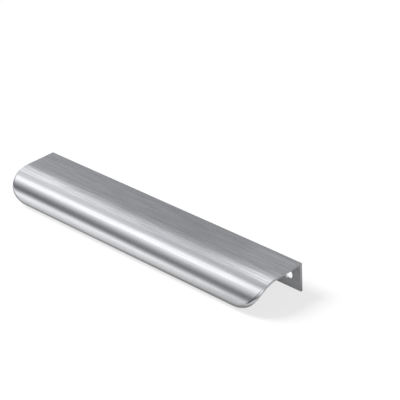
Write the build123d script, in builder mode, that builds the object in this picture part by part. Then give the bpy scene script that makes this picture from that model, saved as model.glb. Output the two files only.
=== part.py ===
from build123d import *
from math import cos, radians, sin
import os

# Driving dimensions of the finger pull, in millimetres
length = 200.0
flange_height = 17.6
web_flat = 20.8
lip_radius = 17.5
lip_sweep = 82.0
wall = 1.5
lip_tip = 2.2
lip_corner_length = 15.7
corner_start_below_web = 0.5
hole_diameter = 6.2
hole_from_end = 9.0
hole_from_free_edge = 7.8
fold_radius = 0.75
rim_radius = 0.5
cutter_margin = 5.0

# Places worked out from the driving dimensions
# X runs along the length, Y towards the flange, Z up from the flange's free edge
half_length = length / 2
lip_depth = lip_radius * sin(radians(lip_sweep))
lip_height = lip_radius * (1 - cos(radians(lip_sweep)))
overall_depth = web_flat + lip_depth
back = overall_depth / 2
front = -back
bend_start = back - web_flat
web_top = flange_height
web_underside = web_top - wall
flange_inner = back - wall
lip_tip_z = web_top - lip_height
hole_pitch = length - 2 * hole_from_end

# Ends of each rounded lip corner in the front view
corner_x = half_length - lip_corner_length
corner_z = web_underside - corner_start_below_web
corner_drop = corner_z - lip_tip_z
cutter_x = half_length + cutter_margin
cutter_z = lip_tip_z - cutter_margin

with BuildPart() as finger_pull:
    # Profile: square flange, flat web and round lip, thicker at its tip
    with BuildSketch(Plane.YZ):
        with BuildLine():
            Line((bend_start, web_top), (back, web_top))
            Line((back, web_top), (back, 0))
            Line((back, 0), (flange_inner, 0))
            Line((flange_inner, 0), (flange_inner, web_underside))
            Line((flange_inner, web_underside), (bend_start, web_underside))
            TangentArc(
                (bend_start, web_underside),
                (front + lip_tip, lip_tip_z),
                tangent=(-1, 0),
            )
            Line((front + lip_tip, lip_tip_z), (front, lip_tip_z))
            RadiusArc((front, lip_tip_z), (bend_start, web_top), lip_radius)
        make_face()
    extrude(amount=half_length, both=True)
    fold_edges = finger_pull.edges().filter_by(Axis.X)
    outer_fold = fold_edges.filter_by_position(Axis.Y, back, back).sort_by(Axis.Z)[-1]
    inner_fold = fold_edges.filter_by_position(Axis.Y, flange_inner, flange_inner).sort_by(Axis.Z)[-1]
    fillet([outer_fold, inner_fold], fold_radius)

    # Both lower corners of the lip rounded off from the front
    with BuildSketch(Plane.XZ.offset(-bend_start)):
        with BuildLine():
            corner = EllipticalCenterArc((corner_x, corner_z), lip_corner_length, corner_drop, -90)
            Line(corner @ 0, (corner_x, cutter_z))
            Line((corner_x, cutter_z), (cutter_x, cutter_z))
            Line((cutter_x, cutter_z), (cutter_x, corner_z))
            Line((cutter_x, corner_z), corner @ 1)
        make_face()
        mirror(about=Plane.YZ)
    extrude(amount=overall_depth, mode=Mode.SUBTRACT)

    # Plain round screw holes near both ends of the flange
    with BuildSketch(Plane.XZ.offset(-back)):
        with Locations((0, hole_from_free_edge)):
            with GridLocations(hole_pitch, 0, 2, 1):
                Circle(hole_diameter / 2)
    extrude(amount=2 * wall, mode=Mode.SUBTRACT)

    # Rounded rim along the flange's free edge, the lip's tip and round both ends
    rim_edges = finger_pull.edges().filter_by(Axis.X).group_by(Axis.Z)
    fillet(rim_edges[0] + rim_edges[1], rim_radius)

finger_pull.part.label = "finger_pull_profile"
os.makedirs("parts", exist_ok=True)
export_step(finger_pull.part, "parts/finger_pull_profile.step")
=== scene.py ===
import math

import bpy
from mathutils import Matrix, Vector


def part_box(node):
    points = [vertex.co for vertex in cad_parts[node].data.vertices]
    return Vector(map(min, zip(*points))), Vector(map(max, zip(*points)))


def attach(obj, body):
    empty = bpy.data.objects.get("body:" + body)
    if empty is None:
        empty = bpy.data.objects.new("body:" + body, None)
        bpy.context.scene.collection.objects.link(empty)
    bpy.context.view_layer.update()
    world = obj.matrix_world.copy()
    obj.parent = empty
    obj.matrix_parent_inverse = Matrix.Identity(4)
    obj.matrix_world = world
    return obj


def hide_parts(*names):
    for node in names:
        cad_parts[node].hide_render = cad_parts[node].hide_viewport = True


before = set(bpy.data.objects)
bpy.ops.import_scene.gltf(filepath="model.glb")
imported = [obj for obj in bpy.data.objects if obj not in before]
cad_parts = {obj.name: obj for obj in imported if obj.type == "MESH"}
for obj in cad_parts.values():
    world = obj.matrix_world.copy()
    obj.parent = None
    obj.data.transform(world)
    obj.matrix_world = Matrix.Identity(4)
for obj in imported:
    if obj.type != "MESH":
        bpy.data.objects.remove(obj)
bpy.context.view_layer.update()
CAD_NODE = "finger_pull_profile"
MM = 0.001

# Camera, at the photograph's angle: its axes and place in the part's frame
CAMERA_RIGHT = Vector((0.713665, 0.698768, -0.049035))
CAMERA_UP = Vector((-0.310368, 0.378187, 0.872151))
CAMERA_FORWARD = Vector((-0.627975, 0.607205, -0.486773))
CAMERA_PLACE = Vector((0.564121, -0.501784, 0.446268))
CAMERA_LENS = 139.586
CAMERA_SENSOR = 36.0
CAMERA_NEAR = 0.01
CAMERA_FAR = 50.0

# Sheet, in millimetres; its outer limits are the solid's
high_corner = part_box(CAD_NODE)[1]
HALF_LENGTH = high_corner.x / MM
BACK = high_corner.y / MM
WEB_TOP = high_corner.z / MM
WALL = 1.5
FOLD = 0.75
WEB_FLAT = 20.8
LIP_RADIUS = 17.5
LIP_SWEEP = math.radians(82.0)
LIP_TIP = 2.2
CORNER_LENGTH = 15.7
CORNER_BELOW_TOP = 2.0
HOLE_RADIUS = 3.1
HOLE_FROM_END = 9.0
HOLE_Z = 7.8
BEND_START = BACK - WEB_FLAT
TIP_Y = BEND_START - LIP_RADIUS * math.sin(LIP_SWEEP)
TIP_Z = WEB_TOP - LIP_RADIUS * (1 - math.cos(LIP_SWEEP))
CORNER_X = HALF_LENGTH - CORNER_LENGTH
CORNER_START = WEB_TOP - CORNER_BELOW_TOP
CORNER_DROP = CORNER_START - TIP_Z
HOLE_X = HALF_LENGTH - HOLE_FROM_END

# Rounding of the rim: by the angle round the lip in degrees, how far it reaches over the
# skin and how deep into the metal, in millimetres
PLAIN_EDGE = 0.2
OUTER_RIM = (
    (24, PLAIN_EDGE, PLAIN_EDGE), (42, 1.8, 1.0), (56, 2.1, 1.0), (66, 2.6, 1.0),
    (76, 2.4, 1.0), (82, 1.8, 1.0),
)
INNER_RIM = ((12, PLAIN_EDGE, PLAIN_EDGE), (38, 0.8, 0.7), (82, 0.8, 0.7))
RIM_STEPS = 8
HOLE_EDGE_STEPS = 3

# Cells of the sheet's mesh, with a square of them round each hole; the first rows by their
# distance from the free edge and the rings between the square and the hole by their share
FREE_EDGE_ROWS = (0.0, 0.9, 1.8)
HOLE_ROW = len(FREE_EDGE_ROWS)
HOLE_HALF = 5.2
HOLE_CELLS = 12
HOLE_RINGS = (0.4, 0.75, 1.0)
EDGE_CELLS = 3
MIDDLE_CELLS = 24
FOLD_CELLS = 6
WEB_CELLS = 10
BEND_CELLS = 16
CORNER_CELLS = 36

# Metal: its colour in the troughs and on the crests of the grain, its gloss, drawn out
# across the grain, and how far the bend's shading reaches to each side, in millimetres
METAL_DARK = (0.57, 0.573, 0.588, 1.0)
METAL_LIGHT = (0.9, 0.902, 0.914, 1.0)
METAL_ROUGHNESS = 0.19
METAL_ROUGHNESS_SPREAD = 0.04
METAL_ANISOTROPY = 0.7
METAL_ANISOTROPY_TURN = 0.25
BEND_EASE = 4.0

# Grain: its scale along the part's axes, its detail and its weight in the metal's colour;
# the scratches are crisp at the web's top and soft below it, from and to these depths
SCRATCHES = (45.0, 950.0, 950.0)
SCRATCH_DETAIL = 5.0
SCRATCH_CRISP = 1.05
SCRATCH_SOFT = 0.22
CRISP_DEPTH = 0.1
SOFT_DEPTH = 1.8
STREAKS = (3.0, 500.0, 500.0)
STREAK_DETAIL = 2.0
STREAK_WEIGHT = 0.2
PLAIN_SHADE = 0.4
NOISE_ROUGHNESS = 0.65
NOISE_LOW = 0.3
NOISE_HIGH = 0.7
NOISE_MIDDLE = 0.5
BUMP_STRENGTH = 0.1
BUMP_HEIGHT = 0.0001

# Cut faces
CUT_COLOR = (0.57, 0.573, 0.583, 1.0)
CUT_ROUGHNESS = 0.35
CUT_ROUGHNESS_SPREAD = 0.08
CUT_MARKS = (1800.0, 700.0, 700.0)
CUT_DETAIL = 3.0

# Studio: three columns of brightness by the angle round the part's length, from the back
# horizon (0) over the top (90) to the front horizon (180 degrees)
STUDIO = (
    (0, 0.34, 0.29, 0.29), (40, 0.37, 0.28, 0.33), (48, 0.89, 0.37, 0.62),
    (56, 1.27, 0.40, 0.92), (66, 1.71, 0.48, 1.11), (80, 1.27, 0.55, 1.11),
    (92, 0.54, 0.51, 0.75), (101, 0.47, 0.67, 0.72), (108, 1.16, 1.39, 1.25),
    (114, 1.58, 1.65, 1.51), (123, 1.17, 1.50, 1.36), (132, 0.84, 0.82, 0.55),
    (141, 0.66, 0.55, 0.29), (148, 0.19, 0.25, 0.11), (158, 0.10, 0.11, 0.07),
    (166, 0.38, 0.84, 0.90), (172, 0.72, 1.55, 1.53), (180, 0.17, 0.51, 0.94),
)
STUDIO_PEAK = 1.8
# Share of the studio's light that reaches the floor
STUDIO_ON_FLOOR = 0.4
# Share of each column by the direction's part along the length, from left to right
TURNS = (
    (-1.0, 0.0, 0.0, 0.5), (-0.84, 0.0, 0.0, 0.5), (-0.76, 0.0, 0.0, 1.0),
    (-0.706, 0.0, 0.0, 1.0), (-0.605, 0.0, 1.0, 0.0), (-0.572, 1.0, 0.0, 0.0),
    (-0.555, 1.0, 0.0, 0.0), (-0.52, 0.05, 0.0, 0.0), (-0.4, 0.05, 0.0, 0.0),
    (-0.3, 0.5, 0.4, 0.0), (0.84, 0.4, 0.4, 0.0), (0.9, 0.1, 0.1, 0.0), (1.0, 0.1, 0.1, 0.0),
)
# Tint of its darker parts
COOL = (0.965, 0.985, 1.04, 1.0)
WHITE = (1.0, 1.0, 1.0, 1.0)

# Floor: half its width in metres and its colour; the glow is the share of plain white in it
FLOOR_HALF = 4.0
FLOOR_COLOR = (0.93, 0.93, 0.93, 1.0)
FLOOR_GLOW = 0.75
FLOOR_GLOW_IN_METAL = 0.12
# In the metal, the floor carries painted shade, darker close in front of the part and behind it:
# grey by place from front to back, in metres
FLOOR_SHADE_IN_METAL = (
    (-0.12, 0.82), (-0.08, 0.8), (-0.045, 0.61), (-0.033, 0.32), (-0.027, 0.23), (-0.018, 0.3),
    (-0.017, 0.93), (0.012, 0.93), (0.019, 0.72), (0.027, 0.38), (0.04, 0.3), (0.1, 0.45),
    (0.12, 0.6),
)
# In front of the part the painted shade in the metal also deepens towards the right end: the
# share that is left, by place from left to right, and where the front begins, in metres
FLOOR_SHADE_ALONG = ((-0.12, 1.0), (-0.03, 1.0), (0.06, 0.7), (0.1, 0.7), (0.112, 1.0), (0.12, 1.0))
FLOOR_FRONT = -0.0175

# Soft lamp at the left, which throws the pale shadow to the right
LAMP_DIRECTION = Vector((-1.0, -0.38, 1.05))
LAMP_ANGLE = math.radians(30)
LAMP_STRENGTH = 4.1

# Sockets of the Mix node when it mixes colours: share, first and second colour, and result
MIX_SOCKETS = (0, 6, 7)
MIX_RESULT = 2


def smooth(share):
    share = min(1.0, max(0.0, share))
    return share * share * (3 - 2 * share)


class Side:
    """One side of the bent sheet, followed from the flange's free edge to the lip's tip."""

    def __init__(self, outer):
        self.outer = outer
        self.sign = 1 if outer else -1
        self.face = BACK if outer else BACK - WALL
        self.top = WEB_TOP if outer else WEB_TOP - WALL
        across = BEND_START - TIP_Y - (0 if outer else LIP_TIP)
        drop = self.top - TIP_Z
        self.radius = (across ** 2 + drop ** 2) / (2 * drop)
        self.sweep = math.atan2(across, self.radius - drop)
        self.flange = self.top - FOLD
        self.fold = FOLD * math.pi / 2
        self.web = self.face - FOLD - BEND_START
        self.bend = self.flange + self.fold + self.web

    def at(self, way):
        """Y, Z and the outward normal's Y, Z at a distance from the free edge."""
        if way <= self.flange:
            return self.face, way, self.sign, 0.0
        if way <= self.flange + self.fold:
            turn = (way - self.flange) / FOLD
            across, up = math.cos(turn), math.sin(turn)
            middle_y, middle_z = self.face - FOLD, self.top - FOLD
            normal = self.sign * across, self.sign * up
            return middle_y + FOLD * across, middle_z + FOLD * up, *normal
        past = way - self.bend
        if abs(past) > BEND_EASE:
            eased = max(past, 0.0)
        else:
            eased = (past + BEND_EASE) ** 2 / (4 * BEND_EASE)
        lean = eased / self.radius
        normal = -self.sign * math.sin(lean), self.sign * math.cos(lean)
        if way <= self.bend:
            return BEND_START - past, self.top, *normal
        turn = past / self.radius
        across, up = self.radius * math.sin(turn), self.radius * math.cos(turn)
        return BEND_START - across, self.top - self.radius + up, *normal

    def lip(self, share):
        """Distance from the free edge of a share of the lip."""
        return self.bend + self.radius * self.sweep * share


def lip_shares():
    """Shares of the lip at which the mesh has a row, with the end's X there."""
    outer = Side(True)

    def share_at(height):
        return math.acos((height - outer.top + outer.radius) / outer.radius) / outer.sweep

    start = share_at(CORNER_START)
    rows = [(start * i / BEND_CELLS, HALF_LENGTH) for i in range(BEND_CELLS)]
    for i in range(CORNER_CELLS + 1):
        turn = math.pi / 2 * i / CORNER_CELLS
        height = CORNER_START - CORNER_DROP * math.sin(turn)
        rows.append((share_at(height), CORNER_X + CORNER_LENGTH * math.cos(turn)))
    return rows


def end_rows(side):
    """Right end of the sheet: X, distance from the free edge and share of the lip, row by row."""
    rows = [(HALF_LENGTH, way, 0.0) for way in FREE_EDGE_ROWS]
    for i in range(HOLE_CELLS + 1):
        rows.append((HALF_LENGTH, HOLE_Z + HOLE_HALF * (2 * i / HOLE_CELLS - 1), 0.0))
    rows.append((HALF_LENGTH, (rows[-1][1] + side.flange) / 2, 0.0))
    for i in range(FOLD_CELLS):
        rows.append((HALF_LENGTH, side.flange + side.fold * i / FOLD_CELLS, 0.0))
    for i in range(WEB_CELLS):
        rows.append((HALF_LENGTH, side.flange + side.fold + side.web * i / WEB_CELLS, 0.0))
    for share, x in lip_shares():
        rows.append((x, side.lip(share), share))
    return rows


def columns():
    """Shares of the half length at which the mesh has a column, from -1 to 1."""
    outer = (HOLE_X + HOLE_HALF) / HALF_LENGTH
    right = [1 - (1 - outer) * i / EDGE_CELLS for i in range(EDGE_CELLS)]
    for i in range(HOLE_CELLS + 1):
        right.append((HOLE_X + HOLE_HALF * (1 - 2 * i / HOLE_CELLS)) / HALF_LENGTH)
    inner = (HOLE_X - HOLE_HALF) / HALF_LENGTH
    right += [inner * (1 - i / MIDDLE_CELLS) for i in range(1, MIDDLE_CELLS)]
    return [-x for x in right] + [0.0] + right[::-1]


class Sheet:
    """Collects the sheet's mesh: points, their normals and faces."""

    def __init__(self):
        self.points = []
        self.normals = []
        self.faces = []

    def add(self, side, x, way, depth=0.0, lean=(0.0, 0.0), level=1.0):
        """A point of a side, sunk by depth, its normal leaning along X and along the side."""
        y, z, normal_y, normal_z = side.at(way)
        along_y, along_z = -side.sign * normal_z, side.sign * normal_y
        lean_x, lean_way = lean
        self.points.append((x * MM, (y - normal_y * depth) * MM, (z - normal_z * depth) * MM))
        self.normals.append((
            lean_x, normal_y * level + along_y * lean_way, normal_z * level + along_z * lean_way,
        ))
        return len(self.points) - 1

    def band(self, first, second, flip):
        """Faces between two closed rings of points."""
        for i in range(len(first)):
            after = (i + 1) % len(first)
            face = (first[i], first[after], second[after], second[i])
            self.faces.append(face if flip else face[::-1])


def rim_at(rim, degrees):
    """Width and depth of a rim at an angle round the lip, eased between its rows."""
    for (start, *before), (end, *after) in zip(rim, rim[1:]):
        if degrees <= end:
            break
    ease = smooth((degrees - start) / (end - start))
    return [first + (second - first) * ease for first, second in zip(before, after)]


def rim_ends(side):
    """Right end's rows with the inward direction and the rim's width and depth."""
    rows = end_rows(side)
    rim = OUTER_RIM if side.outer else INNER_RIM
    ends = []
    for j, (x, way, share) in enumerate(rows):
        if j == 0:
            inward = (-1.0, 1.0)
        elif j == len(rows) - 1:
            inward = (0.0, -1.0)
        else:
            step_x = rows[j + 1][0] - rows[j - 1][0]
            step_way = rows[j + 1][1] - rows[j - 1][1]
            size = math.hypot(step_x, step_way)
            inward = (-step_way / size, step_x / size)
        width, depth = rim_at(rim, math.degrees(share * LIP_SWEEP))
        ends.append((x, way, inward, width, depth))
    return ends


def add_skin(sheet, side, ends, shares, hole_columns):
    """Grid of faces inside the rim, open at the holes; returns its points, row by row."""
    grid = []
    for x, way, inward, width, _ in ends:
        half, place = x + inward[0] * width, way + inward[1] * width
        grid.append([sheet.add(side, half * share, place) for share in shares])
    open_columns = {first + i for first in hole_columns for i in range(HOLE_CELLS)}
    for j in range(len(ends) - 1):
        by_hole = HOLE_ROW <= j < HOLE_ROW + HOLE_CELLS
        for i in range(len(shares) - 1):
            if by_hole and i in open_columns:
                continue
            face = (grid[j][i], grid[j][i + 1], grid[j + 1][i + 1], grid[j + 1][i])
            sheet.faces.append(face[::-1] if side.outer else face)
    return grid


def add_rim(sheet, side, ends, grid, shares):
    """Rings from the grid's border out to the sheet's outline; returns the last one."""
    last = len(shares) - 1
    rows = range(len(ends))
    border = [(ends[j], 1.0, grid[j][last]) for j in rows]
    border += [(ends[-1], shares[i], grid[-1][i]) for i in range(last - 1, 0, -1)]
    border += [(ends[j], -1.0, grid[j][0]) for j in reversed(rows)]
    border += [(ends[0], shares[i], grid[0][i]) for i in range(1, last)]
    before = [point for _, _, point in border]
    for step in range(RIM_STEPS - 1, -1, -1):
        turn = math.pi / 2 * step / RIM_STEPS
        ring = []
        for (x, way, inward, width, depth), share, _ in border:
            inset = width * (1 - math.cos(turn))
            at_end = abs(share) == 1
            inward_x = inward[0] if at_end else 0.0
            half = x + inward_x * inset if at_end else x + inward[0] * width
            size = math.hypot(inward_x, inward[1])
            out = math.cos(turn) / width / size
            side_x = math.copysign(1.0, share)
            ring.append(sheet.add(
                side, half * share, way + inward[1] * inset, depth * (1 - math.sin(turn)),
                (-inward_x * side_x * out, -inward[1] * out), math.sin(turn) / depth,
            ))
        sheet.band(before, ring, side.outer)
        before = ring
    return before


def hole_border(grid, first):
    """Points of the square round a hole that starts at a column, in order."""
    cells = range(HOLE_CELLS)
    border = [grid[HOLE_ROW][first + i] for i in cells]
    border += [grid[HOLE_ROW + i][first + HOLE_CELLS] for i in cells]
    border += [grid[HOLE_ROW + HOLE_CELLS][first + HOLE_CELLS - i] for i in cells]
    border += [grid[HOLE_ROW + HOLE_CELLS - i][first] for i in cells]
    return border


def add_hole(sheet, side, border, middle_x):
    """Rings from a square border to a round hole's edge; returns the last one."""
    places = [(sheet.points[i][0] / MM, sheet.points[i][2] / MM) for i in border]
    angles = [math.atan2(z - HOLE_Z, x - middle_x) for x, z in places]
    edge = HOLE_RADIUS + PLAIN_EDGE
    before = border
    for share in HOLE_RINGS:
        ring = []
        for (x, z), angle in zip(places, angles):
            edge_x, edge_z = middle_x + edge * math.cos(angle), HOLE_Z + edge * math.sin(angle)
            ring.append(sheet.add(side, x + (edge_x - x) * share, z + (edge_z - z) * share))
        sheet.band(before, ring, not side.outer)
        before = ring
    for step in range(HOLE_EDGE_STEPS - 1, -1, -1):
        turn = math.pi / 2 * step / HOLE_EDGE_STEPS
        radius = HOLE_RADIUS + PLAIN_EDGE * (1 - math.cos(turn))
        ring = []
        for angle in angles:
            across, up = math.cos(angle), math.sin(angle)
            depth = PLAIN_EDGE * (1 - math.sin(turn))
            ring.append(sheet.add(side, middle_x + radius * across, HOLE_Z + radius * up, depth))
            inwards = -math.cos(turn)
            sheet.normals[-1] = (across * inwards, side.sign * math.sin(turn), up * inwards)
        sheet.band(before, ring, not side.outer)
        before = ring
    return before


def place_in_scene(name, data):
    placed = bpy.data.objects.new(name, data)
    bpy.context.scene.collection.objects.link(placed)
    return placed


def make_sheet():
    """The finger pull's metal, with a rim that is crisp at the web and rolled over at the lip."""
    sheet = Sheet()
    shares = columns()
    left_hole = EDGE_CELLS
    right_hole = len(shares) - 1 - EDGE_CELLS - HOLE_CELLS
    outlines, holes = [], []
    for side in (Side(True), Side(False)):
        ends = rim_ends(side)
        grid = add_skin(sheet, side, ends, shares, (left_hole, right_hole))
        outlines.append(add_rim(sheet, side, ends, grid, shares))
        holes.append([
            add_hole(sheet, side, hole_border(grid, first), middle_x)
            for first, middle_x in ((left_hole, -HOLE_X), (right_hole, HOLE_X))
        ])
    skin_faces = len(sheet.faces)
    sheet.band(outlines[0], outlines[1], True)
    cut_faces = range(skin_faces, len(sheet.faces))
    for outer, inner in zip(*holes):
        sheet.band(outer, inner, False)

    mesh = bpy.data.meshes.new("pull_metal")
    mesh.from_pydata(sheet.points, [], sheet.faces)
    faces = range(len(mesh.polygons))
    mesh.polygons.foreach_set("use_smooth", [True for _ in faces])
    mesh.polygons.foreach_set("material_index", [int(i in cut_faces) for i in faces])
    normals = [Vector(normal).normalized() for normal in sheet.normals]
    mesh.normals_split_custom_set_from_vertices(normals)
    return place_in_scene("pull_metal", mesh)


def feed(tree, socket, value):
    """Links another node's output to a socket, or sets the socket's own value."""
    if isinstance(value, bpy.types.NodeSocket):
        tree.links.new(value, socket)
    else:
        socket.default_value = value


def math_node(tree, operation, *values):
    made = tree.nodes.new("ShaderNodeMath")
    made.operation = operation
    for socket, value in zip(made.inputs, values):
        feed(tree, socket, value)
    return made.outputs["Value"]


def map_range(tree, value, low, high, new_low, new_high):
    """A value moved from one range into another."""
    made = tree.nodes.new("ShaderNodeMapRange")
    limits = {"From Min": low, "From Max": high, "To Min": new_low, "To Max": new_high}
    for name, limit in limits.items():
        made.inputs[name].default_value = limit
    tree.links.new(value, made.inputs["Value"])
    return made.outputs["Result"]


def make_ramp(tree, value, stops):
    """Straight runs of colour by a value: each stop has its value, red, green and blue."""
    low, high = stops[0][0], stops[-1][0]
    ramp = tree.nodes.new("ShaderNodeValToRGB")
    tree.links.new(map_range(tree, value, low, high, 0.0, 1.0), ramp.inputs["Fac"])
    ramp.color_ramp.interpolation = "LINEAR"
    elements = ramp.color_ramp.elements
    while len(elements) < len(stops):
        elements.new(0.5)
    for element, (stop, *color) in zip(elements, stops):
        element.position = (stop - low) / (high - low)
        element.color = color + [1.0]
    return ramp.outputs["Color"]


def grey_ramp(tree, value, stops):
    return make_ramp(tree, value, [(stop, grey, grey, grey) for stop, grey in stops])


def mix_color(tree, share, first, second):
    made = tree.nodes.new("ShaderNodeMix")
    made.data_type = "RGBA"
    for socket, value in zip(MIX_SOCKETS, (share, first, second)):
        feed(tree, made.inputs[socket], value)
    return made.outputs[MIX_RESULT]


def vector_node(tree, operation, first, second):
    made = tree.nodes.new("ShaderNodeVectorMath")
    made.operation = operation
    tree.links.new(first, made.inputs[0])
    tree.links.new(second, made.inputs["Scale" if operation == "SCALE" else 1])
    return made


def split_place(tree, kind):
    """Coordinates of a kind, split into X, Y and Z."""
    coords = tree.nodes.new("ShaderNodeTexCoord")
    split = tree.nodes.new("ShaderNodeSeparateXYZ")
    tree.links.new(coords.outputs[kind], split.inputs["Vector"])
    return split.outputs


def plain_rays(tree, rays):
    """1 for what the camera sees, straight or through something clear, and else 0."""
    return math_node(tree, "MAXIMUM", rays["Is Camera Ray"], rays["Is Transmission Ray"])


def make_grain(tree, scale, detail):
    """Noise drawn out along the length, from 0 to 1."""
    coords = tree.nodes.new("ShaderNodeTexCoord")
    stretch = tree.nodes.new("ShaderNodeMapping")
    stretch.inputs["Scale"].default_value = scale
    tree.links.new(coords.outputs["Object"], stretch.inputs["Vector"])
    noise = tree.nodes.new("ShaderNodeTexNoise")
    noise.inputs["Scale"].default_value = 1.0
    noise.inputs["Detail"].default_value = detail
    noise.inputs["Roughness"].default_value = NOISE_ROUGHNESS
    tree.links.new(stretch.outputs["Vector"], noise.inputs["Vector"])
    return map_range(tree, noise.outputs["Fac"], NOISE_LOW, NOISE_HIGH, 0.0, 1.0)


def add_bump(tree, shader, height):
    bump = tree.nodes.new("ShaderNodeBump")
    bump.inputs["Strength"].default_value = BUMP_STRENGTH
    bump.inputs["Distance"].default_value = BUMP_HEIGHT
    tree.links.new(height, bump.inputs["Height"])
    tree.links.new(bump.outputs["Normal"], shader.inputs["Normal"])


def make_material(name):
    """A new material with its node tree and shader."""
    material = bpy.data.materials.new(name)
    material.use_nodes = True
    return material, material.node_tree, material.node_tree.nodes["Principled BSDF"]


def make_camera():
    data = bpy.data.cameras.new("camera")
    data.lens = CAMERA_LENS
    data.sensor_width = CAMERA_SENSOR
    data.clip_start = CAMERA_NEAR
    data.clip_end = CAMERA_FAR
    camera = place_in_scene("camera", data)
    turn = Matrix((CAMERA_RIGHT, CAMERA_UP, -CAMERA_FORWARD)).transposed()
    camera.matrix_world = Matrix.Translation(CAMERA_PLACE) @ turn.to_4x4()
    bpy.context.scene.camera = camera


def make_metal():
    material, tree, shader = make_material("brushed_metal")
    shader.inputs["Metallic"].default_value = 1.0
    shader.inputs["Anisotropic"].default_value = METAL_ANISOTROPY
    shader.inputs["Anisotropic Rotation"].default_value = METAL_ANISOTROPY_TURN

    # Long thin scratches along the length, crispest on the web, and soft streaks among them
    scratches = make_grain(tree, SCRATCHES, SCRATCH_DETAIL)
    streaks = make_grain(tree, STREAKS, STREAK_DETAIL)
    place = split_place(tree, "Object")
    soft, crisp = (WEB_TOP - SOFT_DEPTH) * MM, (WEB_TOP - CRISP_DEPTH) * MM
    weight = map_range(tree, place["Z"], soft, crisp, SCRATCH_SOFT, SCRATCH_CRISP)
    shade = math_node(tree, "SUBTRACT", scratches, NOISE_MIDDLE)
    shade = math_node(tree, "MULTIPLY", shade, weight)
    shade = math_node(tree, "ADD", shade, PLAIN_SHADE)
    shade = math_node(tree, "ADD", shade, math_node(tree, "MULTIPLY", streaks, STREAK_WEIGHT))
    feed(tree, shader.inputs["Base Color"], mix_color(tree, shade, METAL_DARK, METAL_LIGHT))
    dull = METAL_ROUGHNESS + METAL_ROUGHNESS_SPREAD
    glossy = METAL_ROUGHNESS - METAL_ROUGHNESS_SPREAD
    feed(tree, shader.inputs["Roughness"], map_range(tree, shade, 0.0, 1.0, dull, glossy))
    add_bump(tree, shader, streaks)

    tangent = tree.nodes.new("ShaderNodeCombineXYZ")
    tangent.inputs["X"].default_value = 1.0
    feed(tree, shader.inputs["Tangent"], tangent.outputs["Vector"])
    return material


def make_cut_metal():
    """Sawn faces at the ends and edges: darker and rougher than the brushed skin."""
    material, tree, shader = make_material("cut_metal")
    shader.inputs["Metallic"].default_value = 1.0
    shader.inputs["Base Color"].default_value = CUT_COLOR
    marks = make_grain(tree, CUT_MARKS, CUT_DETAIL)
    glossy = CUT_ROUGHNESS - CUT_ROUGHNESS_SPREAD
    dull = CUT_ROUGHNESS + CUT_ROUGHNESS_SPREAD
    feed(tree, shader.inputs["Roughness"], map_range(tree, marks, 0.0, 1.0, glossy, dull))
    add_bump(tree, shader, marks)
    return material


def make_floor():
    signs = ((-1, -1), (1, -1), (1, 1), (-1, 1))
    corners = [(x * FLOOR_HALF, y * FLOOR_HALF, 0.0) for x, y in signs]
    mesh = bpy.data.meshes.new("floor")
    mesh.from_pydata(corners, [], [(0, 1, 2, 3)])
    floor = place_in_scene("floor", mesh)
    material, tree, shader = make_material("pale_floor")
    shader.inputs["Roughness"].default_value = 1.0
    shader.inputs["Specular IOR Level"].default_value = 0.0

    # Painted shade by place in its colour, as the metal reflects it
    place = split_place(tree, "Object")
    front = math_node(tree, "LESS_THAN", place["Y"], FLOOR_FRONT)
    painted_dimming = math_node(tree, "POWER", grey_ramp(tree, place["X"], FLOOR_SHADE_ALONG), front)
    painted_shade_in_metal = math_node(tree, "MULTIPLY", grey_ramp(tree, place["Y"], FLOOR_SHADE_IN_METAL), painted_dimming)
    rays = tree.nodes.new("ShaderNodeLightPath").outputs
    color = mix_color(tree, rays["Is Glossy Ray"], FLOOR_COLOR, painted_shade_in_metal)
    feed(tree, shader.inputs["Base Color"], color)

    # The camera sees it mostly plain white, with a pale shadow
    seen = math_node(tree, "MULTIPLY", plain_rays(tree, rays), FLOOR_GLOW)
    mirrored = math_node(tree, "MULTIPLY", rays["Is Glossy Ray"], FLOOR_GLOW_IN_METAL)
    white = tree.nodes.new("ShaderNodeEmission")
    mix = tree.nodes.new("ShaderNodeMixShader")
    feed(tree, mix.inputs["Fac"], math_node(tree, "MAXIMUM", seen, mirrored))
    feed(tree, mix.inputs[1], shader.outputs["BSDF"])
    feed(tree, mix.inputs[2], white.outputs["Emission"])
    feed(tree, tree.nodes["Material Output"].inputs["Surface"], mix.outputs["Shader"])
    mesh.materials.append(material)


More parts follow.
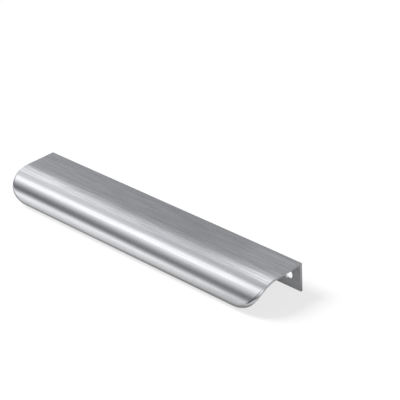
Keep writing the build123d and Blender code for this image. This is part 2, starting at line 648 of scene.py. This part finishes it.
def make_world():
    world = bpy.data.worlds.new("studio")
    bpy.context.scene.world = world
    world.use_nodes = True
    tree = world.node_tree
    toward = split_place(tree, "Generated")
    angle = math_node(tree, "DEGREES", math_node(tree, "ARCTAN2", toward["Z"], toward["Y"]))
    rows = [(degrees, *(value / STUDIO_PEAK for value in values)) for degrees, *values in STUDIO]
    levels = make_ramp(tree, angle, rows)
    shares = make_ramp(tree, toward["X"], TURNS)
    level = vector_node(tree, "DOT_PRODUCT", levels, shares).outputs["Value"]

    # The darker parts of the studio are slightly cool
    tint = mix_color(tree, level, COOL, WHITE)
    studio = tree.nodes["Background"]
    feed(tree, studio.inputs["Color"], vector_node(tree, "SCALE", tint, level).outputs["Vector"])
    rays = tree.nodes.new("ShaderNodeLightPath").outputs
    held_back = STUDIO_PEAK * (STUDIO_ON_FLOOR - 1)
    held_back = math_node(tree, "MULTIPLY", rays["Is Diffuse Ray"], held_back)
    feed(tree, studio.inputs["Strength"], math_node(tree, "ADD", held_back, STUDIO_PEAK))

    # Past the floor's edge the camera sees plain white
    white = tree.nodes.new("ShaderNodeBackground")
    white.inputs["Color"].default_value = WHITE
    mix = tree.nodes.new("ShaderNodeMixShader")
    feed(tree, mix.inputs["Fac"], plain_rays(tree, rays))
    feed(tree, mix.inputs[1], studio.outputs["Background"])
    feed(tree, mix.inputs[2], white.outputs["Background"])
    feed(tree, tree.nodes["World Output"].inputs["Surface"], mix.outputs["Shader"])


def make_lamp():
    data = bpy.data.lights.new("softbox", "SUN")
    data.angle = LAMP_ANGLE
    data.energy = LAMP_STRENGTH
    lamp = place_in_scene("softbox", data)
    lamp.matrix_world = LAMP_DIRECTION.to_track_quat("Z", "Y").to_matrix().to_4x4()
    lamp.visible_glossy = False


make_camera()
metal = make_metal()
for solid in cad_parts.values():
    solid.data.materials.clear()
    solid.data.materials.append(metal)
pull = make_sheet()
pull.data.materials.append(metal)
pull.data.materials.append(make_cut_metal())
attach(pull, "root")
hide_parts(CAD_NODE)
make_floor()
make_world()
make_lamp()
bpy.context.scene.view_settings.view_transform = "Standard"
